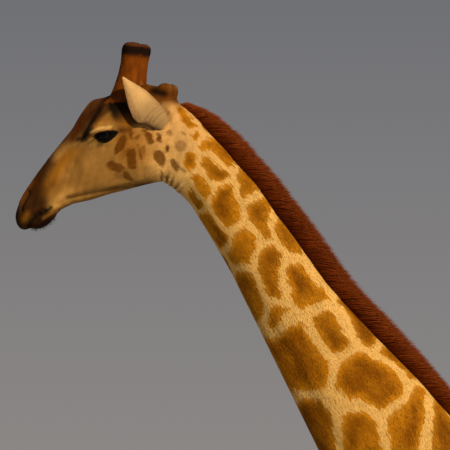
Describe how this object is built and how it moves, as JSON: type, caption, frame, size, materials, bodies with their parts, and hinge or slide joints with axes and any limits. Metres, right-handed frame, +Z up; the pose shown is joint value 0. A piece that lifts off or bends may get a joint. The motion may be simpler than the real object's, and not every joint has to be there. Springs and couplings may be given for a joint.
{
  "type": "giraffe",
  "caption": "Life-size still model of an adult bull giraffe standing at ease, head level, with patched coat, upright mane, hair-rimmed ossicones and tufted tail.",
  "frame": {"origin": "middle of the animal's length and width, on the floor under the hooves", "axes": "+Z up, the animal faces -X, its left side is at -Y"},
  "size_m": [3.4528, 0.694, 4.879],
  "materials": {
    "coat": "short flat hair, tawny patches parted by a net of pale cream-gold lines",
    "mane_hair": "stiff upright red-brown hair",
    "tail_hair": "long wavy black-brown hair",
    "ear_hair": "pale cream short hair",
    "eye": "wet dark brown, clear gloss",
    "hoof": "dull grey-brown horn with fine growth rings"
  },
  "bodies": {
    "root": {"mane": "mane_hair", "tail_tuft": "tail_hair", "eye_left": "eye", "ear_left": "ear_hair", "ossicone_left": "coat", "eye_right": "eye", "ear_right": "ear_hair", "ossicone_right": "coat", "jaw": "coat", "head": "coat", "neck": "coat", "tail": "coat", "fore_left_lower_leg": "coat", "fore_left_upper_leg": "coat", "fore_left_outer_hoof": "hoof", "fore_left_inner_hoof": "hoof", "fore_right_lower_leg": "coat", "fore_right_upper_leg": "coat", "fore_right_outer_hoof": "hoof", "fore_right_inner_hoof": "hoof", "hind_left_lower_leg": "coat", "hind_left_upper_leg": "coat", "hind_left_outer_hoof": "hoof", "hind_left_inner_hoof": "hoof", "hind_right_lower_leg": "coat", "hind_right_upper_leg": "coat", "hind_right_outer_hoof": "hoof", "hind_right_inner_hoof": "hoof", "trunk": "coat"}
  },
  "joints": []
}
